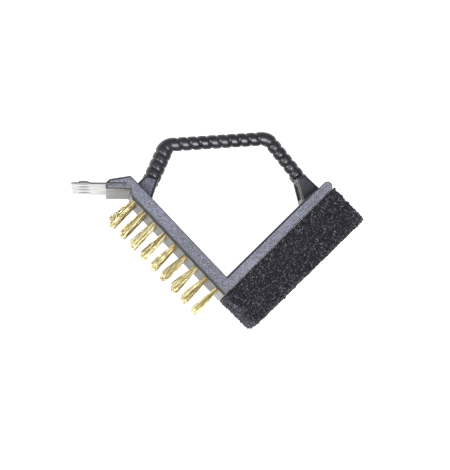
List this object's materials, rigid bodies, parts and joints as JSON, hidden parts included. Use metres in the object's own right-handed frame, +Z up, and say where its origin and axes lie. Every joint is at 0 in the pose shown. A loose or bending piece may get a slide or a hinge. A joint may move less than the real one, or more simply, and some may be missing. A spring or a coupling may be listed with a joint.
{
  "type": "grill cleaning brush",
  "caption": "V-shaped grill cleaning brush: brass bristles on one arm, a thick scouring pad on the other, a steel scraper blade at the knee and a rope-twist handle across the V.",
  "frame": {"origin": "centre of the bounding box's bottom face, with the brush lying on its side", "axes": "+X along the longest extent, from the scraper blade towards the scouring pad; +Y from the tip of the V towards the handle's bar; +Z up, across the brush"},
  "size_m": [0.2195, 0.1513, 0.055],
  "materials": {
    "black_plastic": "satin moulded",
    "stainless_steel": "bright rolled sheet",
    "brass_wire": "crimped wire",
    "scouring_fibre": "non-woven abrasive fibre",
    "glue": "cured hot-melt"
  },
  "bodies": {
    "root": {"body_moulding": "black_plastic", "scraper_blade": "stainless_steel", "bristle_tuft_1a": "brass_wire", "bristle_tuft_1b": "brass_wire", "bristle_tuft_1c": "brass_wire", "bristle_tuft_1d": "brass_wire", "bristle_tuft_2a": "brass_wire", "bristle_tuft_2b": "brass_wire", "bristle_tuft_2c": "brass_wire", "bristle_tuft_2d": "brass_wire", "bristle_tuft_3a": "brass_wire", "bristle_tuft_3b": "brass_wire", "bristle_tuft_3c": "brass_wire", "bristle_tuft_3d": "brass_wire", "bristle_tuft_4a": "brass_wire", "bristle_tuft_4b": "brass_wire", "bristle_tuft_4c": "brass_wire", "bristle_tuft_4d": "brass_wire", "bristle_tuft_5a": "brass_wire", "bristle_tuft_5b": "brass_wire", "bristle_tuft_5c": "brass_wire", "bristle_tuft_5d": "brass_wire", "bristle_tuft_6a": "brass_wire", "bristle_tuft_6b": "brass_wire", "bristle_tuft_6c": "brass_wire", "bristle_tuft_6d": "brass_wire", "bristle_tuft_7a": "brass_wire", "bristle_tuft_7b": "brass_wire", "bristle_tuft_7c": "brass_wire", "bristle_tuft_7d": "brass_wire", "bristle_tuft_8a": "brass_wire", "bristle_tuft_8b": "brass_wire", "bristle_tuft_8c": "brass_wire", "bristle_tuft_8d": "brass_wire", "bristle_tuft_9a": "brass_wire", "bristle_tuft_9b": "brass_wire", "bristle_tuft_9c": "brass_wire", "bristle_tuft_9d": "brass_wire", "pad_glue_layer": "glue", "scouring_pad": "scouring_fibre"}
  },
  "joints": []
}
